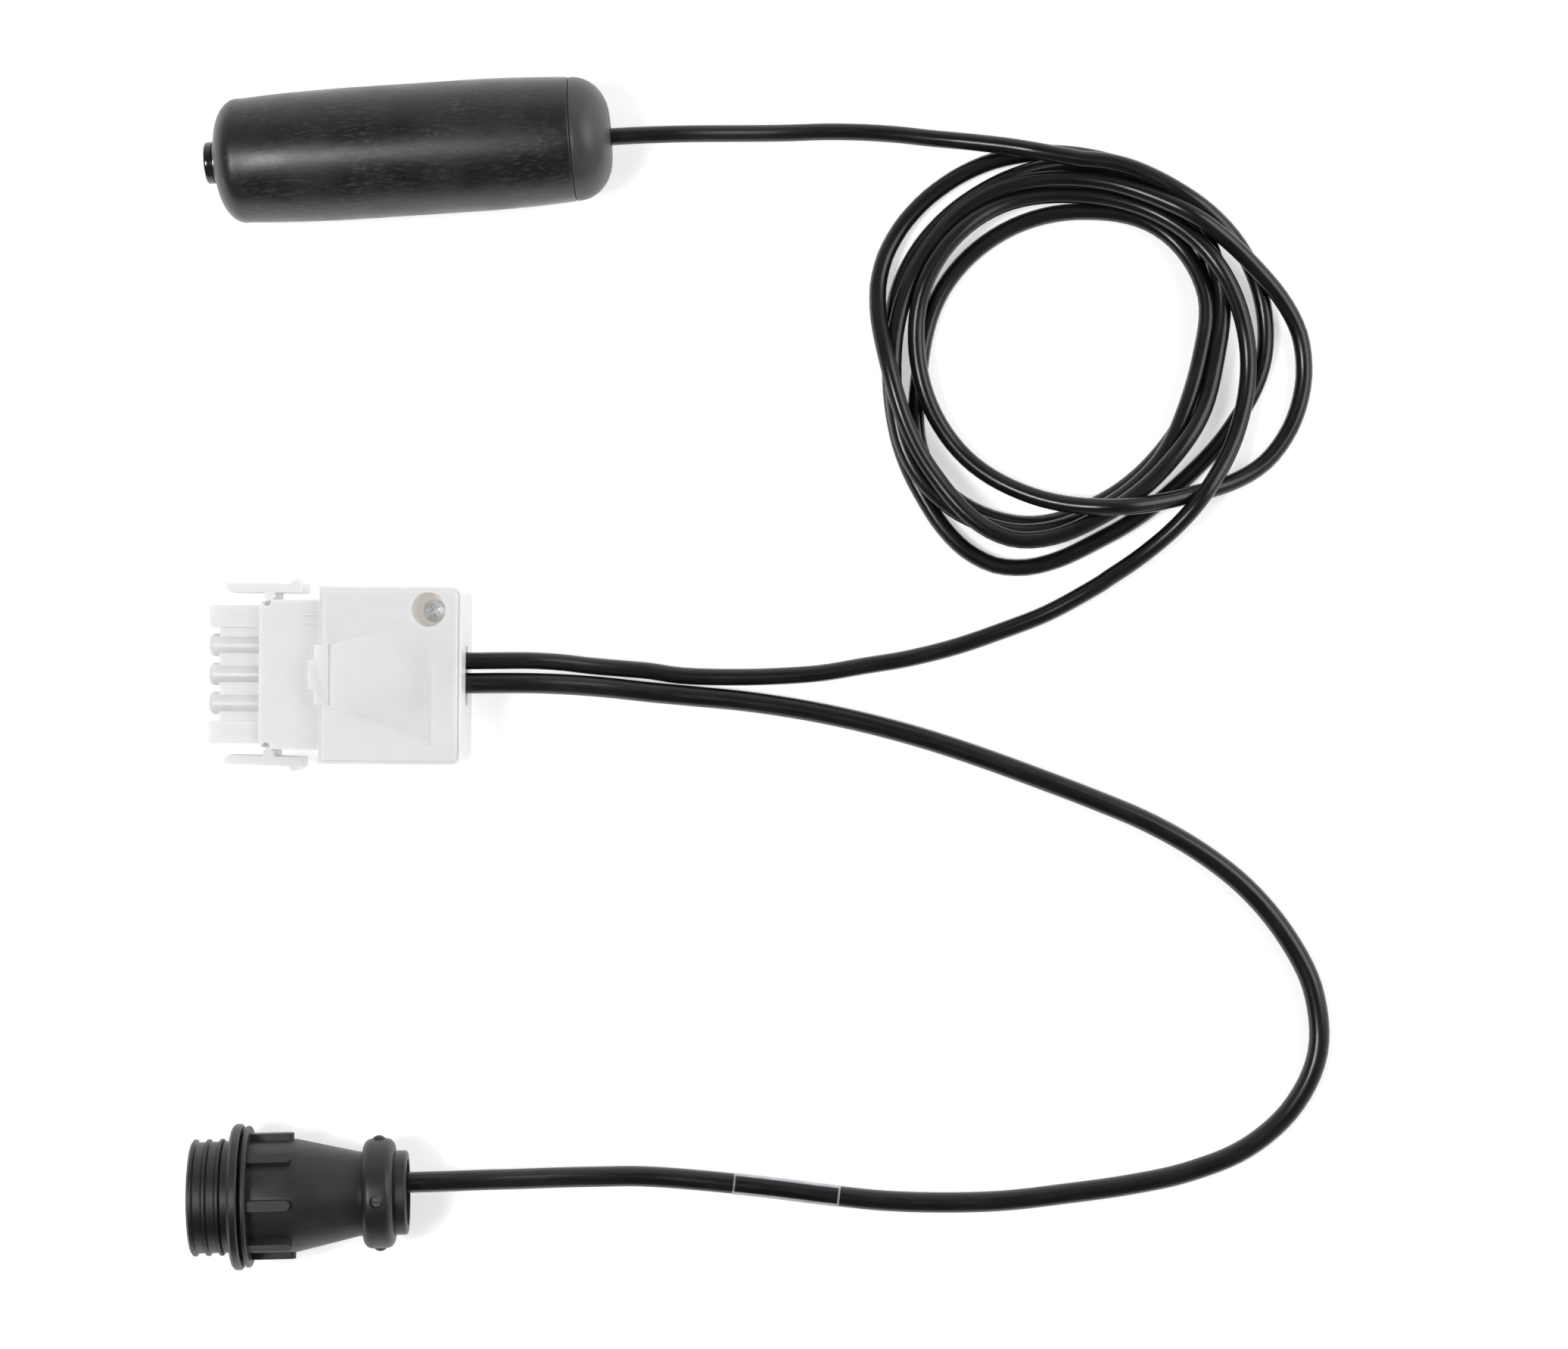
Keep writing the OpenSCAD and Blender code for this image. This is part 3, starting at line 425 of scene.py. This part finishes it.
small_nick = add(scuffs, "MapRange", {"Value": nick.outputs["Distance"], "From Min": 0.10,
                                      "From Max": 0.16, "To Min": 1.0, "To Max": 0.0})
put("Nicks", small_nick.outputs["Result"])

sleeve_rubber = finish("worn sleeve rubber", (0.0075, 0.0077, 0.0086), (0.015, 0.015, 0.0165),
                       (0.30, 0.40), size=90, grain=2600, bump=0.5, Specular_IOR_Level=0.6)
tree = sleeve_rubber.node_tree
shader = tree.nodes["Principled BSDF"]
wear = add(tree, "Group", {"Vector": add(tree, "TexCoord", {}).outputs["Object"],
                           "Length": 520.0, "Width": 1900.0}, node_tree=scuffs).outputs
worn = blend(tree, wear["Streaks"], shader.inputs["Base Color"].links[0].from_socket,
             (0.052, 0.052, 0.057, 1))
fill(shader, {"Base Color": blend(tree, wear["Nicks"], worn, (0.0045, 0.00462, 0.00516, 1))})


def barrel_at(x):
    """Radius of the barrel: r = R − (R − E) (s / S)², from R in the straight middle band to E at
    the end, s past the band of half width 12 mm around x = 1.25 mm."""
    past = max(0, abs(x - 1.25 * MM) - 12 * MM)
    return barrel_r - (barrel_r - end_r) * (past / (24.75 * MM if x < 0 else 23 * MM)) ** 2


sleeve_profile = np.vstack([
    arc(front_x + 5.4 * MM, 5 * MM, -5.4 * MM, end_r - 5 * MM, 90, 0, 14),
    [[x, barrel_at(x)] for x in np.linspace(front_x + 6.5 * MM, joint_x - 0.9 * MM, 60)],
    [[joint_x - 0.35 * MM, end_r], [joint_x - 0.08 * MM, end_r - 0.12 * MM],
     [joint_x, end_r - 0.45 * MM]]])
sleeve = lathe_piece("sleeve", sleeve_profile, sleeve_rubber, wobble=0.10 * MM, seed=4)
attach(sleeve, "root")
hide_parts("sensor_sleeve")

cap_rubber = finish("smooth cap rubber", (0.042, 0.0425, 0.044), (0.058, 0.059, 0.061), (0.38, 0.48),
                    size=110, grain=2400, bump=0.3)
cap_profile = np.vstack([
    [[joint_x + 0.02 * MM, end_r - 0.40 * MM], [joint_x + 0.12 * MM, end_r - 0.14 * MM]],
    arc(joint_x + 0.5 * MM, nose_r, rear_x - joint_x - 0.5 * MM, end_r - 0.1 * MM - nose_r, 0, 90, 28),
    [[rear_x, 2.3 * MM], [rear_x - 0.4 * MM, 1.95 * MM]]])
rear_cap = lathe_piece("rear_cap", cap_profile, cap_rubber, wobble=0.06 * MM, seed=9)
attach(rear_cap, "root")
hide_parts("sensor_rear_cap")

nose_gloss = finish("glossy black nose", (0.006, 0.006, 0.007), (0.012, 0.012, 0.013), (0.10, 0.2),
                    size=200, grain=2500, bump=0.05, Coat_Weight=0.6)
nose_profile = np.vstack([
    [[nose_x, 0.2 * MM], [nose_x, nose_r - 1.1 * MM]],
    arc(nose_x + 0.55 * MM, nose_r - 0.55 * MM, -0.55 * MM, 0.55 * MM, 80, 0, 8),
    [[front_x + 0.4 * MM, nose_r]]])
nose = lathe_piece("nose", nose_profile, nose_gloss, sides=96)
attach(nose, "root")
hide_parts("transducer_nose")


def softened(name, node, width, material, body="root", segments=3, tips=None):
    """A copy of a CAD node whose flat faces are joined up and whose edges are rounded by width.
    It stands for the node, and moves with its body. Edges whose two ends are both tips get a
    wider rounding of their own."""
    sharp = math.radians(28)
    piece = bpy.data.objects.new(name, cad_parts[node].data.copy())
    bpy.context.collection.objects.link(piece)
    work = bmesh.new()
    work.from_mesh(piece.data)
    bmesh.ops.remove_doubles(work, verts=work.verts, dist=3e-6)
    bmesh.ops.dissolve_degenerate(work, edges=work.edges, dist=3e-6)
    bmesh.ops.dissolve_limit(work, angle_limit=math.radians(0.8), verts=work.verts, edges=work.edges)
    if tips:
        picked = [edge for edge in work.edges if all(tips(v.co) for v in edge.verts)]
        bmesh.ops.bevel(work, geom=picked, offset=1.1 * MM, segments=5, profile=0.5, affect="EDGES")
    for face in work.faces:
        face.smooth = True
    for edge in work.edges:
        edge.smooth = len(edge.link_faces) == 2 and edge.calc_face_angle(0) < sharp
    work.to_mesh(piece.data)
    work.free()
    piece.data.materials.clear()
    piece.data.materials.append(material)
    if width:
        rounding = piece.modifiers.new("rounded edges", "BEVEL")
        rounding.width = width
        rounding.segments = segments
        rounding.limit_method = "ANGLE"
        rounding.angle_limit = sharp
        rounding.harden_normals = True
        rounding.use_clamp_overlap = True
        rounding.miter_outer = "MITER_ARC"
    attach(piece, body)
    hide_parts(node)
    return piece


bright_metal = finish("bright turned metal", (0.62, 0.62, 0.63), (0.80, 0.80, 0.81), (0.14, 0.26),
                      size=300, grain=3000, bump=0.1, Metallic=1.0)
softened("bright_ring", "nose_ring", 0.08 * MM, bright_metal)

# ---------------------------------------------------------------------------------------------
# The works inside the probe, carried over from the CAD.
# A drawn metal can holds the ceramic disc and its foam in a silicone ring. Behind it a plastic
# liner carries the board, and a ring in the cap grips the cable.


def clad(material, *nodes):
    """Gives CAD nodes a material of their own, in place of the plain ones they came with."""
    for node in nodes:
        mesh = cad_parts[node].data
        mesh.materials.clear()
        mesh.materials.append(material)


can_metal = finish("deep drawn can", (0.45, 0.45, 0.46), (0.60, 0.60, 0.61), (0.25, 0.4),
                   size=120, grain=2500, bump=0.2, Metallic=1.0)
ceramic = finish("fired ceramic", (0.62, 0.56, 0.40), (0.72, 0.66, 0.50), (0.5, 0.65),
                 size=300, grain=2500, bump=0.2)
foam = finish("dark foam", (0.03, 0.032, 0.04), (0.07, 0.075, 0.085), (0.85, 0.95),
              size=500, grain=1800, bump=0.9)
ring_rubber = finish("grey silicone", (0.08, 0.085, 0.09), (0.12, 0.125, 0.13), (0.5, 0.65),
                     size=150, grain=2000, bump=0.3)
liner_plastic = finish("dark liner plastic", (0.055, 0.06, 0.065), (0.08, 0.085, 0.09), (0.35, 0.5),
                       size=120, grain=2400, bump=0.3)
board_green = finish("green solder mask", (0.010, 0.085, 0.035), (0.018, 0.13, 0.055), (0.25, 0.4),
                     size=300, grain=2600, bump=0.2, Coat_Weight=0.3)
part_black = finish("black moulded parts", (0.014, 0.014, 0.015), (0.03, 0.03, 0.032), (0.4, 0.6),
                    size=400, grain=3000, bump=0.3)
wire_red = finish("red wire cover", (0.40, 0.028, 0.018), (0.52, 0.045, 0.03), (0.3, 0.45),
                  size=200, grain=2500, bump=0.1)
wire_pale = finish("pale wire cover", (0.50, 0.45, 0.36), (0.62, 0.57, 0.47), (0.3, 0.45),
                   size=200, grain=2500, bump=0.1)
clad(can_metal, "transducer_can")
clad(ceramic, "piezo_disc")
clad(foam, "backing_foam")
clad(ring_rubber, "isolation_ring")
clad(liner_plastic, "carrier_liner", "cable_grip_ring")
clad(board_green, "circuit_board")
clad(part_black, "board_components")
clad(wire_red, "transducer_wires")
clad(wire_pale, "cable_wires")

# ---------------------------------------------------------------------------------------------
# Rectangular plug: hood with fifteen silos, two latches, a cover in two halves and two screws.
# Natural white nylon, moulded; brass contacts sit in the silos, and sunk zinc screws with a cross
# The nylon scatters light inside; an even painted glow stands in for the table's light that it passes
# on, and lightens its shade.
nylon = {"Subsurface_Weight": 0.7, "Subsurface_Radius": (1.0, 0.97, 0.90),
         "Subsurface_Scale": 2.5 * MM, "IOR": 1.53, "grain": 2200, "bump": 0.2}
# Both nylons carry a painted glow (emission) that stands in for light from the table coming through
# them.
hood_nylon = finish("hood nylon", (0.575, 0.575, 0.57), (0.625, 0.625, 0.62), (0.32, 0.44), size=160,
                    sharpness=0.2, Emission_Color=(0.98, 1.0, 0.99, 1), Emission_Strength=0.28, **nylon)
cover_nylon = finish("cover nylon", (0.57, 0.57, 0.57), (0.635, 0.635, 0.63), (0.34, 0.46), size=75,
                     sharpness=0.35, Emission_Strength=0.42, **nylon)
# The well of the upper screw gets a warmer, brighter painted glow (emission), standing in for light that
# comes in through the nylon all round it
upper_well = (-1.12 * MM, -101.66 * MM, 0)
tree = cover_nylon.node_tree
flat = add(tree, "VectorMath", {0: add(tree, "TexCoord", {}).outputs["Object"], 1: (1, 1, 0)},
           operation="MULTIPLY")
away = add(tree, "VectorMath", {0: flat.outputs["Vector"], 1: upper_well}, operation="DISTANCE")
painted_well_glow = add(tree, "MapRange", {"Value": away.outputs["Value"], "From Min": 3.7 * MM,
                              "From Max": 4.0 * MM, "To Min": 1.0, "To Max": 0.0})
fill(tree.nodes["Principled BSDF"], {"Emission Color": blend(
    tree, painted_well_glow.outputs["Result"], (0.65, 0.67, 0.66, 1), (0.95, 0.88, 0.78, 1))})

plug_place, plug_turn, pitch = (5 * MM, -116.5 * MM, 12.5 * MM), math.radians(-4.25), 6.35 * MM


def finger_tip(point):
    """Whether point is on the front rim of one of the nine round silos of the middle columns,
    which stand on a square grid of one pitch."""
    x, y, z = np.subtract(point, plug_place)
    forward = x * math.cos(plug_turn) + y * math.sin(plug_turn)
    across = (y * math.cos(plug_turn) - x * math.sin(plug_turn)) / pitch
    height = z / pitch
    off_axis = math.hypot(across - round(across), height - round(height)) * pitch
    return forward < -55.4 * MM and abs(round(across)) < 2 and off_axis > 2.3 * MM


hood = softened("plug_hood", "plug_housing", 0.22 * MM, hood_nylon, segments=2,
                tips=finger_tip)
top_cover = softened("plug_cover_top", "cover_top", 0.35 * MM, cover_nylon)
bottom_cover = softened("plug_cover_bottom", "cover_bottom", 0.35 * MM, cover_nylon)
upper_latch = softened("plug_latch_upper", "latch_upper", 0.1 * MM, hood_nylon,
                       body="latch_upper")
lower_latch = softened("plug_latch_lower", "latch_lower", 0.1 * MM, hood_nylon,
                       body="latch_lower")
# The screws carry a faint painted glow (emission), standing in for light coming through the nylon round
# them.
zinc = finish("zinc plated steel", (0.58, 0.60, 0.62), (0.80, 0.82, 0.84), (0.24, 0.42), size=500,
              grain=2600, bump=0.3, Metallic=0.7, Emission_Color=(0.75, 0.84, 0.90, 1),
              Emission_Strength=0.10)
screws = softened("plug_screws", "cover_screws", 0.12 * MM, zinc, segments=2)
brass = finish("tarnished brass", (0.36, 0.22, 0.09), (0.56, 0.38, 0.17), (0.28, 0.5),
               size=400, grain=2600, bump=0.3, Metallic=1.0)
clad(brass, "crimp_contacts")
clad(wire_red, "plug_wires")
clad(ring_rubber, "cable_pads")

# ---------------------------------------------------------------------------------------------
# Circular connector: threaded shell with pins, gasket, ribbed funnel, clamp ring and its jaws.
# Black glass-filled plastic, satin, screwed together by hand; the cable leaves to one side of
# the middle because the two jaws grip it there.
shell_black = finish("satin black plastic", (0.009, 0.0092, 0.010), (0.015, 0.0155, 0.0165),
                     (0.36, 0.48), size=120, grain=2600, bump=0.4)
funnel_black = finish("smooth black plastic", (0.012, 0.0122, 0.013), (0.019, 0.0195, 0.0205),
                      (0.40, 0.52), size=90, grain=2600, bump=0.4)
dark_steel = finish("blackened steel", (0.05, 0.05, 0.052), (0.11, 0.11, 0.112), (0.35, 0.5),
                    size=500, grain=2600, bump=0.3, Metallic=0.7)
gasket_rubber = finish("gasket rubber", (0.008, 0.008, 0.009), (0.014, 0.014, 0.015), (0.6, 0.8),
                       size=150, grain=2200, bump=0.4)
insert_black = finish("insert plastic", (0.018, 0.018, 0.02), (0.03, 0.03, 0.033), (0.45, 0.6),
                      size=200, grain=2400, bump=0.3)
shell = softened("threaded_shell", "receptacle_shell", 0.18 * MM, shell_black)
funnel = softened("ribbed_funnel", "funnel_backshell", 0.3 * MM, funnel_black)
clamp = softened("clamp_collar", "clamp_ring", 0.0, funnel_black)
gasket = softened("groove_gasket", "flange_gasket", 0.2 * MM, gasket_rubber)
clad(insert_black, "contact_insert", "clamp_jaws")
clad(brass, "pin_contacts")
clad(dark_steel, "clamp_screws")
clad(wire_red, "connector_wires")
